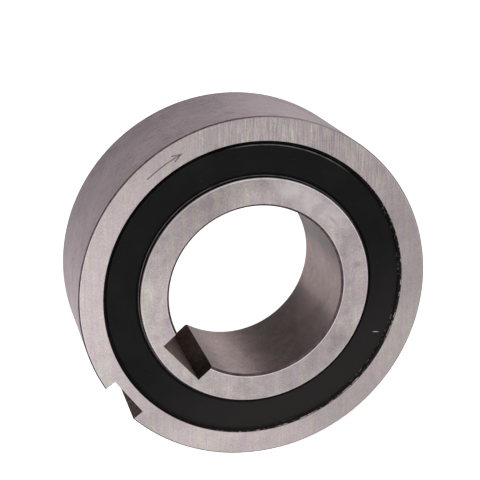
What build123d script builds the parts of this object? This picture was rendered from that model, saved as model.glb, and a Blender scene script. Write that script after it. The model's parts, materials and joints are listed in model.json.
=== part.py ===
"""Keyed one-way sprag clutch with its own ball bearing, sealed on both sides.

Millimetres. The clutch turns about the Y axis and stands on its rim: the front face,
which carries the arrow, looks along -Y, and +Z is up. The origin is on the axis, half
way across the width. Seen from the front, angles run anticlockwise from +X, so 90
degrees is the top.

From the outside in: the outer ring, a rubber seal with a steel insert at each end, and
the inner ring. In the space between the rings a row of balls in a crown cage carries
the load at the back, and a row of sprags in a channel-shaped cage drives at the front.
Two garter springs lie over the ends of the sprags and hold them against both races.
"""

from build123d import *
from math import cos, pi, radians, sin, sqrt
import os

# ------------------------------------------------------------------ driving dimensions

# Rings, from the bore outwards
bore_diameter = 40.0
inner_ring_wall = 6.4
race_gap = 8.1  # radial space between the two cylindrical races
outer_ring_wall = 5.5

# Edges of the rings
bore_chamfer = 0.5
rim_chamfer = 0.3
race_edge_chamfer = 0.12

# Keyways, cut the full width, and where they stand at rest
inner_keyway_width = 12.0
inner_keyway_depth = 3.3
inner_keyway_angle = -139.0
outer_keyway_width = 10.0
outer_keyway_depth = 3.0
outer_keyway_angle = -143.3

# Balls and their grooves
ball_count = 14
race_depth = 1.11  # how far a ball sinks into each ring
groove_conformity = 1.04  # groove radius over ball radius
ball_clearance = 0.05

# Crown cage of the balls
ball_cage_thickness = 3.9
ball_cage_floor = 0.69
ball_cage_horn = 1.8  # how far the horns reach past the ball centres
ball_pocket_clearance = 0.15
horn_slot_width = 1.3
horn_slot_depth = 3.4

# Sprags: the upper cam is shifted one way and the lower cam the other
sprag_count = 22
sprag_length = 8.0
cam_shift = 0.3
upper_cam_extra = 0.15  # cam radius beyond half the race gap
lower_cam_extra = -0.05
sprag_race_clearance = 0.05
sprag_head_width = 5.4
sprag_waist_width = 3.0
sprag_foot_width = 4.0
sprag_corner_fillet = 0.35
sprag_tenon_length = 1.6
sprag_tenon_diameter = 3.0

# Channel cage of the sprags
sprag_band_thickness = 1.6
sprag_flange_thickness = 1.05
sprag_window_width = 4.8
sprag_end_clearance = 0.1
flange_clearance = 0.1

# Garter springs
spring_coil_diameter = 1.4
spring_clearance = 0.1

# Space between the pieces in line along the axis
end_clearance = 0.1
row_clearance = 0.34

# Seals, as depths below the ring faces and distances from the races
seal_face_depth = 0.8
seal_depth = 2.5
seal_groove_depth = 1.4
groove_wall_draft = 0.15  # how far the walls of the seal's grooves lean outwards
ridge_height = 0.15
ridge_width = 0.25
ridge_from_outer_race = 1.05
lip_depth = 1.1
lip_width = 0.4
lip_groove_width = 0.3
lip_thickness = 0.7
lip_clearance = 0.05
bead_height = 0.5  # how far the snap-in bead reaches into the outer ring
bead_width = 0.8
bead_clearance = 0.05
insert_thickness = 0.5
insert_inner_cover = 1.4  # rubber between the insert and the inner ring
insert_outer_cover = 0.4

# Arrow engraved on the front of the outer ring, pointing clockwise
arrow_from_outer_race = 2.3
arrow_tail_angle = 131.2
arrow_tip_angle = 117.1
arrow_head_length = 2.05
arrow_head_width = 1.45
arrow_line_width = 0.24
arrow_depth = 0.12

# ------------------------------------------------------------------ sizes that follow

bore_radius = bore_diameter / 2
inner_race_radius = bore_radius + inner_ring_wall
outer_race_radius = inner_race_radius + race_gap
rim_radius = outer_race_radius + outer_ring_wall
pitch_radius = (inner_race_radius + outer_race_radius) / 2

ball_radius = race_gap / 2 + race_depth
groove_radius = ball_radius * groove_conformity
groove_offset = groove_radius - ball_radius - ball_clearance
pocket_radius = ball_radius + ball_pocket_clearance

sprag_cage_length = sprag_length + 2 * (sprag_end_clearance + sprag_flange_thickness)
ball_row_length = ball_radius + pocket_radius + ball_cage_floor
inner_length = 2 * end_clearance + row_clearance + sprag_cage_length + ball_row_length
ring_width = inner_length + 2 * seal_depth
half_width = ring_width / 2
ball_row_y = inner_length / 2 - end_clearance - ball_cage_floor - pocket_radius
sprag_row_y = -inner_length / 2 + end_clearance + sprag_cage_length / 2

spring_ring_radius = (
    pitch_radius + sprag_tenon_diameter / 2 + spring_clearance + spring_coil_diameter / 2
)
spring_offset = (sprag_length - sprag_tenon_length) / 2
bead_depth = seal_groove_depth + (seal_depth - seal_groove_depth) / 2

# The front view plane: x to the right, y up, and its normal towards the viewer.
front_view = Plane.XZ
front_face = front_view.offset(half_width)


def at_row(row_y):
    """The front view plane, moved along the axis to a row of rolling pieces."""
    return front_view.offset(-row_y)


def on_circle(radius, angle):
    """A point in the front view, from its radius and its angle in degrees."""
    return (radius * cos(radians(angle)), radius * sin(radians(angle)))


def row_angles(count):
    """The angles of a row of pieces, clockwise from the top."""
    return [90 - 360 * index / count for index in range(count)]


os.makedirs("parts", exist_ok=True)

# ------------------------------------------------------------------ outer ring

with BuildPart() as outer_ring:
    with BuildSketch(Plane.XY) as outer_section:
        with Locations(((outer_race_radius + rim_radius) / 2, 0)):
            Rectangle(outer_ring_wall, ring_width)
        chamfer(outer_section.vertices().group_by(Axis.X)[-1], rim_chamfer)
        chamfer(outer_section.vertices().group_by(Axis.X)[0], race_edge_chamfer)
        with Locations((pitch_radius - groove_offset, ball_row_y)):
            Circle(groove_radius, mode=Mode.SUBTRACT)
        for end in (-1, 1):
            with Locations((outer_race_radius, end * (half_width - bead_depth))):
                Rectangle(2 * bead_height, bead_width, mode=Mode.SUBTRACT)
    revolve(axis=Axis.Y)
    with BuildSketch(front_view):
        keyway_reach = outer_keyway_depth + rim_chamfer
        keyway_centre = rim_radius - outer_keyway_depth + keyway_reach / 2
        with PolarLocations(keyway_centre, 1, start_angle=outer_keyway_angle):
            Rectangle(keyway_reach, outer_keyway_width)
    extrude(amount=ring_width, both=True, mode=Mode.SUBTRACT)
    with BuildSketch(front_face):
        arrow_radius = outer_race_radius + arrow_from_outer_race
        head_sweep = arrow_head_length / arrow_radius * 180 / pi
        arrow_sweep = arrow_tail_angle - arrow_tip_angle
        with BuildLine():
            CenterArc((0, 0), arrow_radius, arrow_tip_angle, arrow_sweep)
        trace(line_width=arrow_line_width)
        with BuildLine():
            Polyline(
                on_circle(arrow_radius + arrow_head_width / 2, arrow_tip_angle + head_sweep),
                on_circle(arrow_radius, arrow_tip_angle),
                on_circle(arrow_radius - arrow_head_width / 2, arrow_tip_angle + head_sweep),
            )
        trace(line_width=arrow_line_width)
    extrude(amount=-arrow_depth, mode=Mode.SUBTRACT)

outer_ring.part.label = "outer_ring"
export_step(outer_ring.part, "parts/outer_ring.step")

# ------------------------------------------------------------------ inner ring

with BuildPart() as inner_ring:
    with BuildSketch(Plane.XY) as inner_section:
        with Locations(((bore_radius + inner_race_radius) / 2, 0)):
            Rectangle(inner_ring_wall, ring_width)
        chamfer(inner_section.vertices().group_by(Axis.X)[0], bore_chamfer)
        chamfer(inner_section.vertices().group_by(Axis.X)[-1], race_edge_chamfer)
        with Locations((pitch_radius + groove_offset, ball_row_y)):
            Circle(groove_radius, mode=Mode.SUBTRACT)
    revolve(axis=Axis.Y)
    with BuildSketch(front_view):
        keyway_reach = inner_keyway_depth + bore_radius / 2
        keyway_centre = bore_radius + inner_keyway_depth - keyway_reach / 2
        with PolarLocations(keyway_centre, 1, start_angle=inner_keyway_angle):
            Rectangle(keyway_reach, inner_keyway_width)
    extrude(amount=ring_width, both=True, mode=Mode.SUBTRACT)

inner_ring.part.label = "inner_ring"
export_step(inner_ring.part, "parts/inner_ring.step")

# ------------------------------------------------------------------ seals

lip_radius = inner_race_radius + lip_clearance
lip_top = lip_radius + lip_width
plate_start = lip_top + lip_groove_width
ridge_start = outer_race_radius - ridge_from_outer_race
ridge_end = ridge_start + ridge_width
ridge_depth = seal_face_depth - ridge_height
edge_radius = outer_race_radius - bead_clearance
bead_radius = edge_radius + bead_height
bead_half = bead_width / 2 - bead_clearance
insert_inner_radius = inner_race_radius + insert_inner_cover
insert_outer_radius = outer_race_radius - insert_outer_cover
insert_depth = seal_depth - insert_thickness

# The rubber's section, as radius and depth below the ring face: along the outside from
# the lip to the snap-in bead, then back along the inside round the insert.
rubber_section = [
    (lip_radius, lip_depth),
    (lip_top, lip_depth),
    (lip_top + groove_wall_draft, seal_groove_depth),
    (plate_start, seal_groove_depth),
    (plate_start + groove_wall_draft, seal_face_depth),
    (ridge_start, seal_face_depth),
    (ridge_start, ridge_depth),
    (ridge_end, ridge_depth),
    (ridge_end + groove_wall_draft, seal_groove_depth),
    (edge_radius, seal_groove_depth),
    (edge_radius, bead_depth - bead_half),
    (bead_radius, bead_depth - bead_half),
    (bead_radius, bead_depth + bead_half),
    (edge_radius, bead_depth + bead_half),
    (edge_radius, seal_depth),
    (insert_outer_radius, seal_depth),
    (insert_outer_radius, insert_depth),
    (insert_inner_radius, insert_depth),
    (insert_inner_radius, seal_depth),
    (plate_start + groove_wall_draft, seal_depth),
    (lip_radius, lip_depth + lip_thickness),
]

for end_name, end in (("front", -1), ("back", 1)):
    with BuildPart() as seal:
        with BuildSketch(Plane.XY):
            with BuildLine():
                Polyline(
                    [(radius, end * (half_width - depth)) for radius, depth in rubber_section],
                    close=True,
                )
            make_face()
        revolve(axis=Axis.Y)
    seal.part.label = f"{end_name}_seal"
    export_step(seal.part, f"parts/{end_name}_seal.step")

    with BuildPart() as insert:
        with BuildSketch(Plane.XY):
            insert_y = end * (half_width - seal_depth + insert_thickness / 2)
            with Locations(((insert_inner_radius + insert_outer_radius) / 2, insert_y)):
                Rectangle(insert_outer_radius - insert_inner_radius, insert_thickness)
        revolve(axis=Axis.Y)
    insert.part.label = f"{end_name}_seal_insert"
    export_step(insert.part, f"parts/{end_name}_seal_insert.step")

# ------------------------------------------------------------------ ball row

with BuildPart() as ball_cage:
    cage_front = ball_row_y - ball_cage_horn
    cage_back = ball_row_y + pocket_radius + ball_cage_floor
    with BuildSketch(Plane.XY):
        with Locations((pitch_radius, (cage_front + cage_back) / 2)):
            Rectangle(ball_cage_thickness, cage_back - cage_front)
    revolve(axis=Axis.Y)
    with Locations(at_row(ball_row_y)):
        with PolarLocations(pitch_radius, ball_count, start_angle=90):
            Sphere(pocket_radius, mode=Mode.SUBTRACT)
    with BuildSketch(at_row(cage_front)):
        with PolarLocations(pitch_radius, ball_count, start_angle=90 + 180 / ball_count):
            Rectangle(2 * ball_cage_thickness, horn_slot_width)
    extrude(amount=-horn_slot_depth, mode=Mode.SUBTRACT)

ball_cage.part.label = "ball_cage"
export_step(ball_cage.part, "parts/ball_cage.step")

for number, angle in enumerate(row_angles(ball_count), start=1):
    with BuildPart() as ball:
        with Locations(at_row(ball_row_y)):
            with Locations(on_circle(pitch_radius, angle)):
                Sphere(ball_radius)
    ball.part.label = f"ball_{number:02d}"
    export_step(ball.part, f"parts/ball_{number:02d}.step")

# ------------------------------------------------------------------ sprag row

with BuildPart() as sprag_cage:
    flange_inner_radius = pitch_radius - sprag_band_thickness / 2
    flange_outer_radius = outer_race_radius - flange_clearance
    window_length = sprag_length + 2 * sprag_end_clearance
    with BuildSketch(Plane.XY):
        with Locations(((flange_inner_radius + flange_outer_radius) / 2, sprag_row_y)):
            Rectangle(flange_outer_radius - flange_inner_radius, sprag_cage_length)
        channel_floor = pitch_radius + sprag_band_thickness / 2
        with Locations(((channel_floor + outer_race_radius) / 2, sprag_row_y)):
            Rectangle(outer_race_radius - channel_floor, window_length, mode=Mode.SUBTRACT)
    revolve(axis=Axis.Y)
    with BuildSketch(at_row(sprag_row_y)):
        with PolarLocations(pitch_radius, sprag_count, start_angle=90):
            Rectangle(2 * sprag_band_thickness, sprag_window_width)
    extrude(amount=window_length / 2, both=True, mode=Mode.SUBTRACT)

sprag_cage.part.label = "sprag_cage"
export_step(sprag_cage.part, "parts/sprag_cage.step")


def cam_height(race_radius, cam_radius, direction):
    """Height over the pivot of a cam's centre, when the cam all but touches its race.

    The direction is 1 for the cam that bears on the outer race and -1 for the other.
    """
    reach = race_radius - direction * (cam_radius + sprag_race_clearance)
    return sqrt(reach**2 - cam_shift**2) - pitch_radius


upper_cam_radius = race_gap / 2 + upper_cam_extra
lower_cam_radius = race_gap / 2 + lower_cam_extra
upper_cam_y = cam_height(outer_race_radius, upper_cam_radius, 1)
lower_cam_y = cam_height(inner_race_radius, lower_cam_radius, -1)
head_half = sprag_head_width / 2
foot_half = sprag_foot_width / 2
waist_half = sprag_waist_width / 2
head_corner_y = upper_cam_y + sqrt(upper_cam_radius**2 - head_half**2)
foot_corner_y = lower_cam_y - sqrt(lower_cam_radius**2 - foot_half**2)

for number, angle in enumerate(row_angles(sprag_count), start=1):
    pivot_x, pivot_z = on_circle(pitch_radius, angle)
    clockwise = on_circle(1, angle - 90)
    sprag_plane = Plane(
        origin=(pivot_x, sprag_row_y, pivot_z),
        x_dir=(clockwise[0], 0, clockwise[1]),
        z_dir=(0, -1, 0),
    )
    with BuildPart() as sprag:
        with BuildSketch(sprag_plane) as outline:
            with BuildLine():
                head_left = (cam_shift - head_half, head_corner_y)
                head_top = (cam_shift, upper_cam_y + upper_cam_radius)
                head_right = (cam_shift + head_half, head_corner_y)
                foot_right = (foot_half - cam_shift, foot_corner_y)
                foot_bottom = (-cam_shift, lower_cam_y - lower_cam_radius)
                foot_left = (-foot_half - cam_shift, foot_corner_y)
                ThreePointArc(head_left, head_top, head_right)
                ThreePointArc(head_right, (waist_half, 0), foot_right)
                ThreePointArc(foot_right, foot_bottom, foot_left)
                ThreePointArc(foot_left, (-waist_half, 0), head_left)
            make_face()
            fillet(outline.vertices(), sprag_corner_fillet)
        extrude(amount=sprag_length / 2 - sprag_tenon_length, both=True)
        with BuildSketch(sprag_plane):
            Circle(sprag_tenon_diameter / 2)
        extrude(amount=sprag_length / 2, both=True)
    sprag.part.label = f"sprag_{number:02d}"
    export_step(sprag.part, f"parts/sprag_{number:02d}.step")

for end_name, end in (("front", -1), ("back", 1)):
    with BuildPart() as garter_spring:
        with BuildSketch(Plane.XY):
            with Locations((spring_ring_radius, sprag_row_y + end * spring_offset)):
                Circle(spring_coil_diameter / 2)
        revolve(axis=Axis.Y)
    garter_spring.part.label = f"{end_name}_garter_spring"
    export_step(garter_spring.part, f"parts/{end_name}_garter_spring.step")
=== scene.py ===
"""Looks of the sealed sprag clutch: finishes, moulded seals, coiled springs, studio.

Metres, in the frame of the CAD model: the clutch turns about Y, its arrow face looks
along -Y, and +Z is up. Surface patterns are worked out from object coordinates, so they
ride with their pieces.
"""

import json
import math

import bpy
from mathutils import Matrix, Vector, noise


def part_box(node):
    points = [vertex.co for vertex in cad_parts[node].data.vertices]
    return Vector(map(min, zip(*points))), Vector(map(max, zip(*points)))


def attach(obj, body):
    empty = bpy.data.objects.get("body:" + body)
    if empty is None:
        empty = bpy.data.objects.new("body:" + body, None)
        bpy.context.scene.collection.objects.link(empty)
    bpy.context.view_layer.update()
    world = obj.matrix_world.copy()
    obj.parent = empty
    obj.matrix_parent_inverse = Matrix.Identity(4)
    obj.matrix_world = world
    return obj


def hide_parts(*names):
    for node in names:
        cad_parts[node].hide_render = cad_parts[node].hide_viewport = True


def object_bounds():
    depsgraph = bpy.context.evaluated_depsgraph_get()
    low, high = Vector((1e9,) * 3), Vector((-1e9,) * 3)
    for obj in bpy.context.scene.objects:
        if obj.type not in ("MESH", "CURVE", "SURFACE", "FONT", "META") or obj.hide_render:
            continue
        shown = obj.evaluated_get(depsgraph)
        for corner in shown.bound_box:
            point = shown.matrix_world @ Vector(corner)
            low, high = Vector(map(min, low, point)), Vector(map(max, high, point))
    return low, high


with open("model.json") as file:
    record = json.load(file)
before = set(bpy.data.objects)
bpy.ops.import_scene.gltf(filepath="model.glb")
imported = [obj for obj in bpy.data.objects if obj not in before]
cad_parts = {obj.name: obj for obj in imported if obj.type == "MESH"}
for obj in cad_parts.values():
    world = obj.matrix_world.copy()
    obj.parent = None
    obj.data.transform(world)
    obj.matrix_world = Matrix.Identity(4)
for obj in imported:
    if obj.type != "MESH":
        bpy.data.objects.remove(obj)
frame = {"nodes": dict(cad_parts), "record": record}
cad_low, cad_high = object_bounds()

MM = 0.001

# ------------------------------------------------------------------ sizes from the frame

HALF_WIDTH = cad_high.y
RIM_RADIUS = cad_high.x
FLOOR_LEVEL = cad_low.z
MOUNTS = {mount["name"]: mount for mount in frame["record"]["mounts"]}
BORE_RADIUS = MOUNTS["bore"]["dims"]["r_mm"] * MM
INNER_RACE_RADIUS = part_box("inner_ring")[1].x


def keyway(name):
    """Radius of a keyway's floor and its angle, from its mount."""
    place = Vector(MOUNTS[name]["pos_m"])
    return place.length, math.atan2(place.z, place.x)


# ------------------------------------------------------------------ sizes of details

RIM_CHAMFER = 0.3 * MM
BORE_CHAMFER = 0.5 * MM
RACE_CHAMFER = 0.12 * MM
INNER_KEY_HALF = 6.0 * MM
OUTER_KEY_HALF = 5.0 * MM
ARROW_RADIUS = 36.8 * MM
ARROW_REACH = 1.2 * MM

# The seals: depths below the ring faces, and distances along the radius
SEAL_FACE = 0.8 * MM
SEAL_LIP = 1.1 * MM
SEAL_GROOVE = 1.4 * MM
SEAL_BACK = 2.5 * MM
SEAL_INSERT = 2.0 * MM
GROOVE_DRAFT = 0.15 * MM
LIP_WIDTH = 0.4 * MM
LIP_GROOVE = 0.3 * MM
RIDGE_HEIGHT = 0.15 * MM
RIDGE_WIDTH = 0.25 * MM
RIDGE_FROM_EDGE = 1.0 * MM
BEAD_HEIGHT = 0.5 * MM
BEAD_FRONT = 1.6 * MM
BEAD_BACK = 2.3 * MM
INSERT_MARGIN = 0.35 * MM
INSERT_FROM_LIP = 1.35 * MM
LIP_THICKNESS = 0.7 * MM
CLEARANCE = 0.05 * MM

LIP_START = INNER_RACE_RADIUS + CLEARANCE
PLATE_START = LIP_START + LIP_WIDTH + LIP_GROOVE + GROOVE_DRAFT
SEAL_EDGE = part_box("front_seal")[1].x - BEAD_HEIGHT
RIDGE_START = SEAL_EDGE - RIDGE_FROM_EDGE

# ------------------------------------------------------------------ node helpers


class Graph:
    """A node tree, with short ways to add nodes and to link them."""

    def __init__(self, tree):
        self.tree = tree

    def add(self, kind, **settings):
        node = self.tree.nodes.new(kind)
        for name, value in settings.items():
            setattr(node, name, value)
        return node

    def feed(self, socket, value):
        """Sets an input to a plain value, or links it to another node's output."""
        if isinstance(value, bpy.types.NodeSocket):
            self.tree.links.new(value, socket)
        else:
            socket.default_value = value

    def parts(self, vector):
        node = self.add("ShaderNodeSeparateXYZ")
        self.feed(node.inputs[0], vector)
        return node.outputs[0], node.outputs[1], node.outputs[2]

    def math(self, operation, *values):
        node = self.add("ShaderNodeMath", operation=operation)
        for socket, value in zip(node.inputs, values):
            self.feed(socket, value)
        return node.outputs[0]

    def times(self, *values):
        """The product of two or more values."""
        product = values[0]
        for value in values[1:]:
            product = self.math("MULTIPLY", product, value)
        return product

    def opposite(self, share):
        return self.math("SUBTRACT", 1.0, share)

    def vector(self, x, y, z):
        node = self.add("ShaderNodeCombineXYZ")
        for socket, value in zip(node.inputs, (x, y, z)):
            self.feed(socket, value)
        return node.outputs[0]

    def ramp(self, value, low, high, out_low=0.0, out_high=1.0, shape="SMOOTHSTEP"):
        """Maps value from low..high to out_low..out_high, and clamps it."""
        node = self.add("ShaderNodeMapRange", interpolation_type=shape)
        self.feed(node.inputs[0], value)
        for socket, number in zip(node.inputs[1:5], (low, high, out_low, out_high)):
            self.feed(socket, number)
        return node.outputs[0]

    def inside(self, value, low, high, soft):
        """1 where value lies between low and high, 0 elsewhere."""
        above = self.ramp(value, low - soft, low + soft)
        below = self.ramp(value, high - soft, high + soft, 1.0, 0.0)
        return self.times(above, below)

    def blend(self, factor, a, b):
        node = self.add("ShaderNodeMix", data_type="FLOAT")
        self.feed(node.inputs[0], factor)
        self.feed(node.inputs[2], a)
        self.feed(node.inputs[3], b)
        return node.outputs[0]


class Surface(Graph):
    """A material being built round its principled shader."""

    def __init__(self, name, **sockets):
        self.material = bpy.data.materials.new(name)
        self.material.use_nodes = True
        super().__init__(self.material.node_tree)
        self.shader = self.tree.nodes["Principled BSDF"]
        for socket, value in sockets.items():
            self.shader.inputs[socket.replace("_", " ")].default_value = value
        coordinates = self.add("ShaderNodeTexCoord")
        self.place = coordinates.outputs["Object"]
        self.facing = coordinates.outputs["Normal"]
        self.x, self.y, self.z = self.parts(self.place)

    def noise(self, place, scale=1.0, detail=3.0, roughness=0.55, distortion=0.0):
        node = self.add("ShaderNodeTexNoise")
        self.feed(node.inputs["Vector"], place)
        for name, value in (
            ("Scale", scale),
            ("Detail", detail),
            ("Roughness", roughness),
            ("Distortion", distortion),
        ):
            self.feed(node.inputs[name], value)
        return node.outputs["Fac"]

    def stretched(self, place, x, y, z):
        """The place with each axis divided by the length of a mark along it."""
        node = self.add("ShaderNodeVectorMath", operation="MULTIPLY")
        self.feed(node.inputs[0], place)
        node.inputs[1].default_value = (1 / x, 1 / y, 1 / z)
        return node.outputs[0]

    def swing(self, value, amount):
        """A factor that varies about 1 as value varies about a half."""
        return self.ramp(value, 0.25, 0.75, 1 - amount, 1 + amount, "LINEAR")

    def mix(self, factor, a, b):
        node = self.add("ShaderNodeMix", data_type="RGBA")
        self.feed(node.inputs["Factor"], factor)
        self.feed(node.inputs[6], a)
        self.feed(node.inputs[7], b)
        return node.outputs[2]

    def shade(self, colour, value):
        """The colour times a plain value."""
        node = self.add("ShaderNodeVectorMath", operation="SCALE")
        self.feed(node.inputs[0], colour)
        self.feed(node.inputs["Scale"], value)
        return node.outputs[0]

    def radius(self):
        """Distance from the clutch's axis."""
        squares = self.math("ADD", self.math("POWER", self.x, 2.0), self.math("POWER", self.z, 2.0))
        return self.math("SQRT", squares)

    def turn(self):
        """Angle about the axis as seen from the front, in radians."""
        return self.math("ARCTAN2", self.z, self.x)

    def along(self, angle, x=None, z=None):
        """How far a point, or a normal's x and z, reaches in a direction of the front view."""
        across = self.times(self.x if x is None else x, math.cos(angle))
        return self.math("ADD", across, self.times(self.z if z is None else z, math.sin(angle)))

    def patch(self, x, z, length, width, slant=0.0):
        """1 at a point of the front view, falling softly to 0 at an ellipse round it."""
        angle = math.radians(slant)
        near_x = self.math("SUBTRACT", self.x, x)
        near_z = self.math("SUBTRACT", self.z, z)
        lengthwise = self.times(self.along(angle, near_x, near_z), 2 / length)
        crosswise = self.times(self.along(angle + math.pi / 2, near_x, near_z), 2 / width)
        squares = self.math(
            "ADD", self.math("POWER", lengthwise, 2.0), self.math("POWER", crosswise, 2.0)
        )
        return self.ramp(squares, 0.0, 1.0, 1.0, 0.0)

    def bump(self, height, depth):
        node = self.add("ShaderNodeBump")
        node.inputs["Distance"].default_value = depth
        self.feed(node.inputs["Height"], height)
        return node.outputs["Normal"]

    def finish(self, **sockets):
        for socket, value in sockets.items():
            self.feed(self.shader.inputs[socket.replace("_", " ")], value)
        return self.material


def rgb(red, green, blue):
    """A colour from its sRGB values on the 0 to 255 scale."""
    linear = []
    for value in (red, green, blue):
        share = value / 255
        linear.append(share / 12.92 if share <= 0.04045 else ((share + 0.055) / 1.055) ** 2.4)
    return (*linear, 1.0)


# ------------------------------------------------------------------ finishes


class RingSteel(Surface):
    """Bearing steel of one ring: ground faces, rim and bore, with dark scale left in the
    keyway and on the turned chamfer."""

    def __init__(self, name, keyway_name, key_half, outer):
        super().__init__(name, Specular_IOR_Level=0.0)
        self.outer = outer
        self.key_half = key_half
        self.key_floor, self.key_angle = keyway(keyway_name)
        self.from_axis = self.radius()
        self.depth = self.math("SUBTRACT", HALF_WIDTH, self.math("ABSOLUTE", self.y))
        normal_x, normal_y, normal_z = self.parts(self.facing)
        self.lean = self.math("ABSOLUTE", normal_y)
        self.on_face = self.ramp(self.lean, 0.80, 0.97)
        towards_key = self.along(self.key_angle, normal_x, normal_z)
        self.on_key_floor = self.ramp(self.math("ABSOLUTE", towards_key), 0.5, 0.8)

        # Marks that more than one of colour, roughness and bump are made from
        self.smudge = self.noise(self.place, 95.0, 4.0, 0.6, 0.4)
        self.blotch = self.noise(self.place, 420.0, 4.0, 0.62)
        bands = self.stretched(self.place, 0.8 * MM, 4 * MM, 18 * MM)
        self.broad = self.noise(bands, detail=2.0)
        ground_lines = self.stretched(self.place, 0.30 * MM, 4 * MM, 7 * MM)
        self.lines = self.noise(ground_lines, detail=4.0, roughness=0.65)
        self.over_top = self.plainness()
        self.arc = self.times(self.turn(), RIM_RADIUS if outer else BORE_RADIUS)
        around = self.vector(self.arc, self.y, self.from_axis)
        self.rounds = self.noise(self.stretched(around, 12 * MM, 0.14 * MM, 5 * MM), roughness=0.6)

    def plainness(self):
        """How plainly the grinding lines show: most over the top of the face."""
        wander = self.times(self.noise(self.place, 150.0, 2.0), 12 * MM)
        over_top = self.times(
            self.ramp(self.math("ADD", self.z, wander), 20 * MM, 36 * MM),
            self.ramp(self.math("ADD", self.x, wander), -12 * MM, 0.0),
        )
        return self.blend(over_top, 0.18, 1.0 if self.outer else 0.35)

    def face_value(self):
        """Brightness of the faces, with the all but parallel lines of the grinder."""
        fine = self.noise(self.stretched(self.place, 0.12 * MM, 4 * MM, 3 * MM), detail=2.0)
        streaks = self.times(self.swing(self.lines, 0.24), self.swing(fine, 0.30), 0.96)
        return self.blend(self.over_top, 1.0, streaks)

    def round_value(self):
        """Brightness of the rim or the bore: lines round it, a few slanting scuffs, and painted
        light and shade.
        """
        slanted_y = self.math("SUBTRACT", self.y, self.times(self.arc, 0.35))
        slanted = self.vector(self.arc, slanted_y, self.from_axis)
        scuffs = self.noise(self.stretched(slanted, 3.0 * MM, 0.20 * MM, 5 * MM), detail=2.0)
        scattered = self.ramp(self.noise(self.place, 75.0), 0.50, 0.60)
        upper_left = self.ramp(self.along(math.radians(108)), 37.0 * MM, 39.4 * MM)
        scuffed = self.times(
            self.ramp(scuffs, 0.57, 0.64), self.math("MAXIMUM", scattered, upper_left)
        )
        value = self.times(
            self.swing(self.rounds, 0.12 if self.outer else 0.03),
            self.blend(scuffed, 1.0, 0.52 if self.outer else 0.97),
        )
        if not self.outer:
            # Painted shade: the bore is darker in its upper half.
            return self.times(value, self.ramp(self.z, 1 * MM, 9 * MM, 1.0, 0.46))
        # Painted light and shade: the rim is brighter over the top, darker towards the back, and
        # darker still at its back edge.
        over = self.ramp(self.along(math.radians(86)), 16 * MM, 39.5 * MM, 0.95, 1.12)
        backward = self.ramp(self.y, -4 * MM, 11 * MM, 1.08, 0.96)
        back_edge = (HALF_WIDTH - 1.8 * MM, HALF_WIDTH - 0.6 * MM)
        painted_back_edge_shade = self.ramp(self.y, *back_edge, 1.0, 0.84)
        return self.times(value, over, backward, painted_back_edge_shade)

    def ground_metal(self):
        """Colour of the ground metal, mauve in places and greenish grey in others, with stains and
        mottling from a centimetre down to half a millimetre, and painted light and shade on the rim
        and bore."""
        grain = self.noise(self.place, 2600.0, 3.0, 0.7)
        value = self.times(
            self.blend(self.on_face, self.round_value(), self.face_value()),
            self.ramp(self.smudge, 0.30, 0.72, 0.94 if self.outer else 0.84, 1.05),
            self.blend(self.on_face, 1.0, self.swing(self.broad, 0.06)),
            self.swing(self.blotch, 0.07 if self.outer else 0.15),
            self.swing(grain, 0.20 if self.outer else 0.25),
        )
        cloud = self.noise(self.place, 170.0, 2.0)
        tint = self.math("ADD", self.times(cloud, 0.5), self.times(self.blotch, 0.5))
        tint = self.blend(self.times(self.on_face, 0.7), tint, self.broad)
        face = self.mix(self.ramp(tint, 0.36, 0.64), rgb(202, 187, 192), rgb(199, 191, 186))
        around = rgb(225, 208, 214) if self.outer else rgb(196, 173, 171)
        return self.shade(self.mix(self.on_face, around, face), value)

    def outer_face_painted_light(self, colour):
        """Painted light on the lowest stretch of the face, and painted shade on its right side."""
        paler_patch = self.patch(-4.5 * MM, -37.0 * MM, 56 * MM, 19 * MM, -4.0)
        painted_shade_patch = self.patch(36.0 * MM, 9.0 * MM, 44 * MM, 20 * MM, 100.0)
        wear_and_painted_light = self.times(self.blend(paler_patch, 1.0, 1.29), self.blend(painted_shade_patch, 1.0, 0.88))
        return self.shade(colour, self.blend(self.on_face, 1.0, wear_and_painted_light))

    def worn_inner_face(self, colour):
        """A paler patch, two cloudy ones and two finger marks."""
        paler_patch = self.patch(12.0 * MM, 20.0 * MM, 26 * MM, 6.5 * MM, -34.0)
        ragged = self.times(paler_patch, self.ramp(self.blotch, 0.36, 0.58, 0.55, 1.0))
        colour = self.mix(self.times(ragged, 0.75), colour, rgb(228, 219, 222))
        cloudy = self.math(
            "MAXIMUM",
            self.patch(-14.0 * MM, 18.0 * MM, 42 * MM, 15 * MM, 42.0),
            self.times(self.patch(16.0 * MM, -15.5 * MM, 16 * MM, 9 * MM, 48.0), 0.6),
        )
        marks = self.math(
            "MAXIMUM",
            self.patch(23.5 * MM, 4.4 * MM, 2.2 * MM, 2.0 * MM),
            self.patch(17.6 * MM, 15.4 * MM, 3.0 * MM, 0.9 * MM, -52.0),
        )
        wear_and_painted_light = self.times(self.blend(cloudy, 1.0, 0.76), self.blend(marks, 1.0, 0.80))
        return self.shade(colour, wear_and_painted_light)

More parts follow.
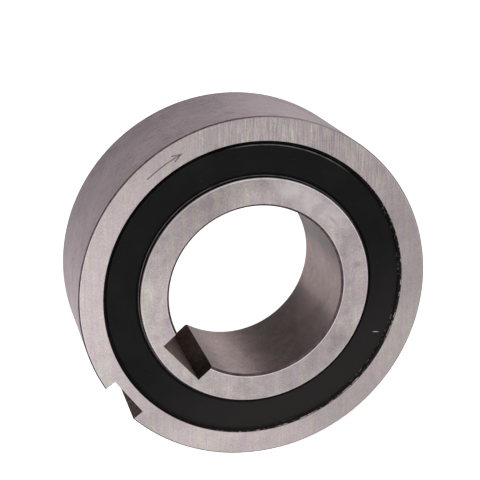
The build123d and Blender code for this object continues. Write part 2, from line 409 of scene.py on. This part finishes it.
    def painted_edge_highlight(self):
        """1 on the thin edges in which the ground face ends: a painted highlight, brighter than the
        rest.
        """
        soft = 0.04 * MM
        if self.outer:
            edge_start = RIM_RADIUS - RIM_CHAMFER - 0.15 * MM
            edge = self.inside(self.from_axis, edge_start, RIM_RADIUS, soft)
            ends = self.math("ABSOLUTE", self.along(math.radians(15)))
            edge = self.times(edge, self.ramp(ends, 24 * MM, 38 * MM, 0.0, 0.45))
        else:
            bore_edge_end = BORE_RADIUS + BORE_CHAMFER + 0.20 * MM
            lower_right = self.ramp(self.along(math.radians(-60)), -12 * MM, 8 * MM, 0.1, 0.75)
            upper_right = self.ramp(self.along(math.radians(60)), 8 * MM, 22 * MM, 0.30, 0.80)
            by_race = self.ramp(self.from_axis, LIP_START - 0.42 * MM, LIP_START - 0.34 * MM)
            edge = self.math(
                "MAXIMUM",
                self.times(self.inside(self.from_axis, 0.0, bore_edge_end, soft), lower_right),
                self.times(by_race, upper_right),
            )
        return self.times(
            edge,
            self.ramp(self.depth, RACE_CHAMFER, 2 * RACE_CHAMFER, 1.0, 0.0),
            self.ramp(self.noise(self.place, 260.0), 0.30, 0.60, 0.5, 1.0),
        )

    def in_keyway(self):
        """1 in the keyway, 0 elsewhere."""
        slack = 0.02 * MM
        across = self.math("ABSOLUTE", self.along(self.key_angle + math.pi / 2))
        in_width = self.ramp(across, self.key_half + slack, self.key_half + 3 * slack, 1.0, 0.0)
        outward = self.along(self.key_angle)
        floor = self.key_floor
        if self.outer:
            return self.times(in_width, self.ramp(outward, floor - 2 * slack, floor - slack))
        above_floor = self.ramp(outward, floor + slack, floor + 2 * slack, 1.0, 0.0)
        return self.times(in_width, above_floor, self.ramp(outward, 0.0, slack))

    def keyway_scale_and_painted_light(self, scale):
        """Dark scale in the keyway, with painted light and shade: the floor is paler than the
        walls, the walls are paler towards the back, and the floor has painted shade towards one
        corner."""
        if self.outer:
            wall = self.mix(scale, rgb(64, 54, 53), rgb(82, 71, 70))
            backward = self.ramp(self.y, -12 * MM, 13 * MM, 0.95, 1.5)
        else:
            wall = self.mix(scale, rgb(46, 38, 34), rgb(62, 52, 47))
            backward = self.ramp(self.y, -12 * MM, 13 * MM, 0.35, 2.6)
        across = self.along(self.key_angle + math.pi / 2)
        # Painted shade towards one corner of the floor.
        corner = self.ramp(across, -3 * MM, self.key_half, 1.0, 0.62)
        floor = self.shade(self.mix(scale, rgb(134, 115, 110), rgb(164, 144, 138)), corner)
        return self.mix(self.on_key_floor, self.shade(wall, backward), floor)

    def chamfer_scale_and_painted_highlight(self, scale):
        """Dark scale on the turned chamfer, with a painted highlight at the right of the rim."""
        turned = self.mix(scale, rgb(60, 48, 52), rgb(84, 71, 75))
        if self.outer:
            painted_chamfer_highlight = self.ramp(self.along(math.radians(40)), 19 * MM, 38 * MM)
            turned = self.mix(painted_chamfer_highlight, turned, rgb(138, 129, 130))
        return turned

    def seat_shade_and_scraps(self):
        """Painted shade on the seat of the seal, with scraps of torn rubber along its edge."""
        shreds = self.stretched(self.place, 0.7 * MM, 4 * MM, 0.7 * MM)
        torn = self.ramp(self.noise(shreds, detail=3.0), 0.50, 0.56)
        strewn = self.ramp(self.noise(self.place, 140.0), 0.40, 0.50)
        lower_right = self.ramp(self.along(math.radians(-25)), 0.0, 18 * MM)
        near_edge = self.inside(self.depth, 0.16 * MM, 0.40 * MM, 0.03 * MM)
        scraps = self.times(torn, strewn, lower_right, near_edge)
        return self.mix(scraps, rgb(38, 34, 34), rgb(214, 209, 206))

    def in_arrow(self):
        """1 at the bottom of the engraved arrow, 0 elsewhere."""
        below_face = self.math("ADD", self.y, HALF_WIDTH)
        arrow_start, arrow_end = ARROW_RADIUS - ARROW_REACH, ARROW_RADIUS + ARROW_REACH
        return self.times(
            self.inside(below_face, 0.03 * MM, 0.30 * MM, 0.01 * MM),
            self.inside(self.from_axis, arrow_start, arrow_end, 0.05 * MM),
        )

    def sheen(self, bare):
        """Roughness of the ground metal, and of the scale where the metal isn't bare."""
        polish = (0.46, 0.56) if self.outer else (0.26, 0.27)
        around = self.ramp(self.rounds, 0.25, 0.75, *polish)
        lined = self.ramp(self.lines, 0.25, 0.75, 0.30, 0.40)
        face = self.blend(self.ramp(self.smudge, 0.4, 0.7), lined, 0.40)
        return self.blend(bare, 0.62, self.blend(self.on_face, around, face))

    def grooves(self):
        """Height of the lines round the rim or the bore, and of those across the face."""
        return self.blend(
            self.on_face,
            self.times(self.rounds, 1.0 if self.outer else 0.03),
            self.times(self.lines, self.over_top),
        )

    def build(self):
        """Lays the worn patches, the painted light and shade, the scale and the arrow over the
        ground metal.
        """
        colour = self.ground_metal()
        colour = self.outer_face_painted_light(colour) if self.outer else self.worn_inner_face(colour)
        # Painted highlight along the edges of the faces.
        colour = self.mix(self.painted_edge_highlight(), colour, rgb(250, 243, 243))

        scale = self.ramp(self.noise(self.place, 700.0, 4.0, 0.65), 0.35, 0.70)
        on_chamfer = self.inside(self.lean, 0.60, 0.82, 0.05)
        if self.outer:
            seat_end = SEAL_EDGE + 0.3 * MM
            by_seal = self.ramp(self.from_axis, seat_end, seat_end + 0.1 * MM, 1.0, 0.0)
            on_seat = self.times(by_seal, self.inside(self.depth, 0.02 * MM, SEAL_BACK, 0.01 * MM))
            # Painted shade in the seal's recess.
            colour = self.mix(on_seat, colour, self.seat_shade_and_scraps())
            on_chamfer = self.times(on_chamfer, self.opposite(by_seal))
        else:
            chamfer_end = BORE_RADIUS + BORE_CHAMFER
            by_bore = self.ramp(self.from_axis, chamfer_end, chamfer_end + BORE_CHAMFER, 1.0, 0.0)
            on_chamfer = self.times(on_chamfer, by_bore)
        in_keyway = self.in_keyway()
        colour = self.mix(on_chamfer, colour, self.chamfer_scale_and_painted_highlight(scale))
        colour = self.mix(in_keyway, colour, self.keyway_scale_and_painted_light(scale))
        bare = self.opposite(self.math("MAXIMUM", in_keyway, on_chamfer))
        if self.outer:
            in_arrow = self.in_arrow()
            colour = self.mix(in_arrow, colour, rgb(98, 88, 86))
            bare = self.times(bare, self.opposite(on_seat), self.opposite(in_arrow))
        return self.finish(
            Base_Color=colour,
            Metallic=bare,
            Roughness=self.sheen(bare),
            Normal=self.bump(self.grooves(), 0.004 * MM),
        )


def seal_rubber():
    """Matt black moulded rubber, with a lip grey from wear and painted highlight, a painted
    highlight on the ridge, pale flash and a little dust.
    """
    s = Surface("seal_rubber", Specular_IOR_Level=0.12)
    radius = s.radius()
    grain = s.noise(s.place, 9000.0, 3.0, 0.6)
    cloud = s.noise(s.place, 120.0)
    arc = s.times(s.turn(), 30 * MM)
    rings = s.noise(s.stretched(s.vector(arc, s.y, radius), 16 * MM, 4 * MM, 0.16 * MM), detail=2.0)
    colour = s.mix(s.ramp(cloud, 0.35, 0.70), rgb(8, 8, 9), rgb(15, 15, 15))
    # Paler towards the lower right.
    paler_to_lower_right = s.ramp(s.math("SUBTRACT", s.times(s.x, 0.5), s.z), 0.0, 34 * MM)
    colour = s.mix(s.times(paler_to_lower_right, 0.8), colour, rgb(33, 30, 30))

    # The lip is grey, partly from wear and partly as a painted highlight; the ridge has a painted
    # highlight, most of all at the upper right.
    patchy = s.ramp(s.noise(s.place, 500.0), 0.30, 0.55, 0.55, 1.0)
    lip = s.inside(radius, LIP_START + 0.14 * MM, LIP_START + 0.30 * MM, 0.04 * MM)
    colour = s.mix(s.times(lip, patchy), colour, rgb(80, 75, 78))
    upper_right = s.ramp(s.along(math.radians(76)), 30.0 * MM, 32.5 * MM, 0.0, 0.85)
    ridge = s.inside(radius, RIDGE_START, RIDGE_START + RIDGE_WIDTH, 0.04 * MM)
    colour = s.mix(s.times(ridge, patchy, upper_right), colour, rgb(88, 82, 81))

    # Torn flash in the groove at the outer edge, and dust.
    groove = s.inside(radius, RIDGE_START + 0.45 * MM, SEAL_EDGE, 0.05 * MM)
    torn = s.ramp(s.noise(s.place, 1300.0, 3.0, 0.7), 0.52, 0.60)
    lower_right = s.ramp(s.along(math.radians(-15)), 8 * MM, 26 * MM)
    strewn = s.times(s.ramp(s.noise(s.place, 90.0), 0.40, 0.55), lower_right)
    colour = s.mix(s.times(groove, torn, strewn), colour, rgb(120, 116, 113))
    dust = s.ramp(s.noise(s.place, 3000.0, 2.0), 0.68, 0.80)
    colour = s.mix(s.times(dust, 0.40), colour, rgb(112, 108, 104))
    scratch = s.patch(29.0 * MM, -12.9 * MM, 2.0 * MM, 0.24 * MM, -6.0)
    colour = s.mix(scratch, colour, rgb(165, 162, 160))

    height = s.math("ADD", grain, s.times(rings, 0.8))
    roughness = s.blend(s.math("MAXIMUM", lip, ridge), s.ramp(cloud, 0.3, 0.7, 0.52, 0.64), 0.42)
    return s.finish(Base_Color=colour, Roughness=roughness, Normal=s.bump(height, 0.006 * MM))


def plain_steel(name, colour, low, high, mark, roughness):
    """Steel that was rolled, tumbled or drawn: two tones, marks of one size, soft bump."""
    s = Surface(name, Metallic=1.0)
    marks = s.noise(s.place, 1 / mark, 4.0, 0.6)
    return s.finish(
        Base_Color=s.shade(colour[:3], s.ramp(marks, 0.3, 0.7, low, high)),
        Roughness=s.ramp(marks, 0.3, 0.7, roughness - 0.05, roughness + 0.08),
        Normal=s.bump(marks, 0.0024 * MM),
    )


def polyamide():
    """Glass-filled polyamide of the ball cage, amber, a little cloudy, wet with grease."""
    s = Surface("ball_cage_polyamide")
    cloud = s.ramp(s.noise(s.place, 260.0, 4.0, 0.6), 0.3, 0.7)
    fibre = s.noise(s.stretched(s.place, 0.06 * MM, 0.4 * MM, 0.06 * MM), detail=2.0)
    return s.finish(
        Base_Color=s.mix(cloud, rgb(176, 132, 74), rgb(204, 164, 104)),
        Roughness=s.blend(cloud, 0.30, 0.48),
        Normal=s.bump(fibre, 0.0024 * MM),
    )


def dress(node, material):
    """Puts a finish on a CAD node that keeps its shape."""
    slots = frame["nodes"][node].data.materials
    slots.clear()
    slots.append(material)


OUTER_STEEL = RingSteel("outer_ring_steel", "outer_keyway", OUTER_KEY_HALF, True).build()
INNER_STEEL = RingSteel("inner_ring_steel", "inner_keyway", INNER_KEY_HALF, False).build()
RUBBER = seal_rubber()
INSERT = plain_steel("insert_steel", rgb(150, 148, 144), 0.8, 1.05, 0.8 * MM, 0.40)
CAGE = plain_steel("cage_steel", rgb(140, 136, 128), 0.75, 1.05, 1.1 * MM, 0.38)
BALL = plain_steel("ball_steel", rgb(206, 206, 208), 0.97, 1.02, 0.7 * MM, 0.09)
SPRAG = plain_steel("sprag_steel", rgb(168, 164, 160), 0.85, 1.05, 0.5 * MM, 0.24)
WIRE = plain_steel("spring_wire", rgb(150, 148, 146), 0.85, 1.05, 0.3 * MM, 0.30)

dress("outer_ring", OUTER_STEEL)
dress("inner_ring", INNER_STEEL)
dress("front_seal_insert", INSERT)
dress("back_seal_insert", INSERT)
dress("sprag_cage", CAGE)
dress("ball_cage", polyamide())
for node_name in frame["nodes"]:
    if node_name.startswith("ball_") and node_name != "ball_cage":
        dress(node_name, BALL)
    if node_name.startswith("sprag_") and node_name != "sprag_cage":
        dress(node_name, SPRAG)

# ------------------------------------------------------------------ seals

SEAL_TURNS = 720
CORNER_STEPS = 4
# The most that a corner's curve takes of the shorter side beside it
CORNER_SHARE = 0.45
# How far the moulding waves in depth and in radius
WAVE_DEPTH = 0.02 * MM
WAVE_RADIUS = 0.015 * MM
# The flash stands where the noise is above the threshold
FLASH_HEIGHT = 0.7 * MM
FLASH_THRESHOLD = 0.12


def rounded(corners):
    """A closed outline with each corner (x, y, r) replaced by a curve about as tight as r."""
    outline = []
    for index, (x, y, r) in enumerate(corners):
        here = Vector((x, y))
        before = Vector(corners[index - 1][:2]) - here
        after = Vector(corners[(index + 1) % len(corners)][:2]) - here
        half = before.angle(after) / 2
        shortest = min(before.length, after.length)
        reach = min(r / math.tan(half), CORNER_SHARE * shortest)
        start = here + before.normalized() * reach
        end = here + after.normalized() * reach
        for step in range(CORNER_STEPS + 1):
            t = step / CORNER_STEPS
            outline.append(start * (1 - t) ** 2 + here * 2 * t * (1 - t) + end * t * t)
    return outline


def lathe(name, outline, turns, shift):
    """A closed mesh: the outline, as radius and y, turned about the Y axis.

    The shift gives each point's small move in radius and y, from its radius, its y and
    its angle.
    """
    vertices = []
    for turn in range(turns):
        angle = 2 * math.pi * turn / turns
        for radius, y in outline:
            more_radius, more_y = shift(radius, y, angle)
            reach = radius + more_radius
            vertices.append((reach * math.cos(angle), y + more_y, reach * math.sin(angle)))
    size = len(outline)
    faces = []
    for turn in range(turns):
        here = turn * size
        following = (turn + 1) % turns * size
        for index in range(size):
            beside = (index + 1) % size
            faces.append((here + index, here + beside, following + beside, following + index))
    mesh = bpy.data.meshes.new(name)
    mesh.from_pydata(vertices, [], faces)
    mesh.validate()
    mesh.shade_smooth()
    piece = bpy.data.objects.new(name, mesh)
    bpy.context.scene.collection.objects.link(piece)
    return piece


def ripple(angle, seed, pitch):
    """Smooth seeded noise round the seal, of a given pitch along it, from -1 to 1."""
    reach = SEAL_EDGE / pitch
    return noise.noise(Vector((math.cos(angle) * reach, math.sin(angle) * reach, seed)))


def uneven(radius, y, angle):
    """How far the moulding departs from round and flat, and the flash in its groove."""
    depth = HALF_WIDTH - abs(y)
    if depth > SEAL_GROOVE + CLEARANCE or radius > SEAL_EDGE - CLEARANCE:
        return 0.0, 0.0
    inward = WAVE_DEPTH * ripple(angle, 0.0, 9 * MM)
    if radius > RIDGE_START + RIDGE_WIDTH and depth > SEAL_FACE:
        inward -= FLASH_HEIGHT * max(0.0, ripple(angle, 3.0, 0.9 * MM) - FLASH_THRESHOLD)
    return WAVE_RADIUS * ripple(angle, 7.0, 2.2 * MM), math.copysign(inward, -y)


def moulded_seal(name, node, end):
    """The rubber seal: lip, groove, plate, ridge, trimmed edge and snap-in bead."""
    lip_end = LIP_START + LIP_WIDTH
    ridge_end = RIDGE_START + RIDGE_WIDTH
    ridge_top = SEAL_FACE - RIDGE_HEIGHT
    bead = SEAL_EDGE + BEAD_HEIGHT
    # radius, depth below the ring face, corner radius; along the outside, then back
    section = [
        (LIP_START, SEAL_LIP, 0.10 * MM),
        (lip_end, SEAL_LIP, 0.10 * MM),
        (lip_end + GROOVE_DRAFT, SEAL_GROOVE, 0.06 * MM),
        (PLATE_START - GROOVE_DRAFT, SEAL_GROOVE, 0.06 * MM),
        (PLATE_START, SEAL_FACE, 0.10 * MM),
        (RIDGE_START, SEAL_FACE, 0.03 * MM),
        (RIDGE_START, ridge_top, 0.06 * MM),
        (ridge_end, ridge_top, 0.08 * MM),
        (ridge_end + GROOVE_DRAFT, SEAL_GROOVE, 0.12 * MM),
        (SEAL_EDGE, SEAL_GROOVE, 0.06 * MM),
        (SEAL_EDGE, BEAD_FRONT, 0.04 * MM),
        (bead, BEAD_FRONT, 0.10 * MM),
        (bead, BEAD_BACK, 0.10 * MM),
        (SEAL_EDGE, BEAD_BACK, 0.03 * MM),
        (SEAL_EDGE, SEAL_BACK, 0.03 * MM),
        (SEAL_EDGE - INSERT_MARGIN, SEAL_BACK, 0.03 * MM),
        (SEAL_EDGE - INSERT_MARGIN, SEAL_INSERT, 0.03 * MM),
        (LIP_START + INSERT_FROM_LIP, SEAL_INSERT, 0.03 * MM),
        (LIP_START + INSERT_FROM_LIP, SEAL_BACK, 0.03 * MM),
        (PLATE_START, SEAL_BACK, 0.08 * MM),
        (LIP_START, SEAL_LIP + LIP_THICKNESS, 0.08 * MM),
    ]
    outline = [(radius, end * (HALF_WIDTH - depth)) for radius, depth in rounded(section)]
    piece = lathe(name, outline, SEAL_TURNS, uneven)
    piece.data.materials.append(RUBBER)
    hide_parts(node)
    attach(piece, "outer_ring_group")


moulded_seal("front_seal_moulding", "front_seal", -1)
moulded_seal("back_seal_moulding", "back_seal", 1)

# ------------------------------------------------------------------ garter springs

SPRING_TURNS = 360
POINTS_PER_TURN = 10
WIRE_RADIUS = 0.15 * MM


def coiled_spring(name, node):
    """A garter spring: fine wire wound round the ring that the torus in CAD fills."""
    low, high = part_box(node)
    coil_radius = (high.y - low.y) / 2
    ring_radius = high.x - coil_radius
    wound_radius = coil_radius - WIRE_RADIUS
    count = SPRING_TURNS * POINTS_PER_TURN
    curve = bpy.data.curves.new(name, "CURVE")
    curve.dimensions = "3D"
    curve.bevel_depth = WIRE_RADIUS
    curve.bevel_resolution = 1
    spline = curve.splines.new("POLY")
    spline.points.add(count - 1)
    spline.use_cyclic_u = True
    for index, point in enumerate(spline.points):
        around = 2 * math.pi * index / count
        wound = around * SPRING_TURNS
        radius = ring_radius + wound_radius * math.cos(wound)
        y = (low.y + high.y) / 2 + wound_radius * math.sin(wound)
        point.co = (radius * math.cos(around), y, radius * math.sin(around), 1.0)
    piece = bpy.data.objects.new(name, curve)
    bpy.context.scene.collection.objects.link(piece)
    curve.materials.append(WIRE)
    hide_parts(node)
    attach(piece, "outer_ring_group")


coiled_spring("front_spring_coil", "front_garter_spring")
coiled_spring("back_spring_coil", "back_garter_spring")

# ------------------------------------------------------------------ studio


def floor_sheet():
    """A pale floor: white to the camera, apart from the clutch's own soft shadow."""
    reach = 3.0
    corners = [(-reach, -reach), (reach, -reach), (reach, reach), (-reach, reach)]
    mesh = bpy.data.meshes.new("floor")
    mesh.from_pydata([(x, y, FLOOR_LEVEL) for x, y in corners], [], [(0, 1, 2, 3)])
    sheet = bpy.data.objects.new("floor", mesh)
    bpy.context.scene.collection.objects.link(sheet)
    s = Surface("floor_paper")
    paper = s.add("ShaderNodeBsdfDiffuse")
    paper.inputs["Color"].default_value = (0.86, 0.86, 0.86, 1.0)
    path = s.add("ShaderNodeLightPath")
    away = s.math("SQRT", s.math("ADD", s.math("POWER", s.x, 2.0), s.math("POWER", s.y, 2.0)))
    # Near the clutch the lights add the rest of the white, so that the shadow shows.
    whiteness = s.ramp(away, 0.10, 0.60, 0.74, 1.0)
    glow = s.add("ShaderNodeEmission")
    s.feed(glow.inputs["Strength"], s.times(path.outputs["Is Camera Ray"], whiteness))
    both = s.add("ShaderNodeAddShader")
    s.feed(both.inputs[0], paper.outputs[0])
    s.feed(both.inputs[1], glow.outputs[0])
    s.feed(s.tree.nodes["Material Output"].inputs["Surface"], both.outputs[0])
    s.tree.nodes.remove(s.shader)
    sheet.data.materials.append(s.material)


# Panels of soft light round the clutch: heading from +Y towards +X and height, in
# degrees, then how narrow the panel is and how bright
PANELS = [
    (35, 25, 25, 0.78),
    (-12, 50, 25, 0.22),
    (-35, 5, 25, 0.14),
    (12, 5, 25, 0.44),
    (-60, 30, 12, 0.70),
    (-90, 50, 25, 0.83),
    (-135, 15, 6, 0.84),
    (135, 15, 6, 0.99),
    (180, 15, 6, 0.50),
    (0, 90, 6, 0.58),
]


def studio_world():
    """White to the camera, and to the clutch a dim room with panels of light in it."""
    world = bpy.data.worlds.new("studio")
    world.use_nodes = True
    bpy.context.scene.world = world
    g = Graph(world.node_tree)
    looking = g.add("ShaderNodeTexCoord").outputs["Generated"]
    room = 0.0
    for heading, height, narrowness, brightness in PANELS:
        towards = g.add("ShaderNodeVectorMath", operation="DOT_PRODUCT")
        g.feed(towards.inputs[0], looking)
        rise = math.sin(math.radians(height))
        reach = math.cos(math.radians(height))
        sideways = math.sin(math.radians(heading)) * reach
        forwards = math.cos(math.radians(heading)) * reach
        g.feed(towards.inputs[1], (sideways, forwards, rise))
        facing = g.math("MAXIMUM", towards.outputs["Value"], 0.0)
        room = g.math("ADD", room, g.times(g.math("POWER", facing, narrowness), brightness))
    path = g.add("ShaderNodeLightPath")
    background = g.tree.nodes["Background"]
    background.inputs["Color"].default_value = (1.0, 1.0, 1.0, 1.0)
    g.feed(background.inputs["Strength"], g.blend(path.outputs["Is Camera Ray"], room, 1.0))


def lamp(name, place, aim, size, power):
    """A soft square lamp at place, turned to the point that it lights.

    The metal mirrors only the world's panels, so a lamp leaves no glare on it.
    """
    light = bpy.data.lights.new(name, "AREA")
    light.size = size
    light.energy = power
    holder = bpy.data.objects.new(name, light)
    holder.visible_glossy = False
    holder.location = place
    direction = Vector(aim) - Vector(place)
    holder.rotation_euler = direction.to_track_quat("-Z", "Y").to_euler()
    bpy.context.scene.collection.objects.link(holder)


def camera():
    """The camera: it looks at the front face from the left and from above."""
    azimuth, elevation = math.radians(14.92), math.radians(19.68)
    distance = 0.2833
    back = Vector(
        (
            -math.sin(azimuth) * math.cos(elevation),
            -math.cos(azimuth) * math.cos(elevation),
            math.sin(elevation),
        )
    )
    lens = bpy.data.cameras.new("camera")
    lens.sensor_width = 36.0
    lens.lens = 90.93
    lens.shift_x = -0.0032
    lens.shift_y = 0.0681
    lens.clip_start = 0.01
    holder = bpy.data.objects.new("camera", lens)
    holder.location = back * distance
    holder.rotation_euler = (-back).to_track_quat("-Z", "Y").to_euler()
    bpy.context.scene.collection.objects.link(holder)
    bpy.context.scene.camera = holder


floor_sheet()
studio_world()
lamp("low_lamp", (-0.10, -0.17, 0.06), (0.0, -0.03, -0.04), 0.06, 0.22)
lamp("high_lamp", (-0.20, -0.36, 0.24), (-0.05, -0.13, -0.04), 0.22, 0.68)
camera()
bpy.context.scene.view_settings.view_transform = "Standard"
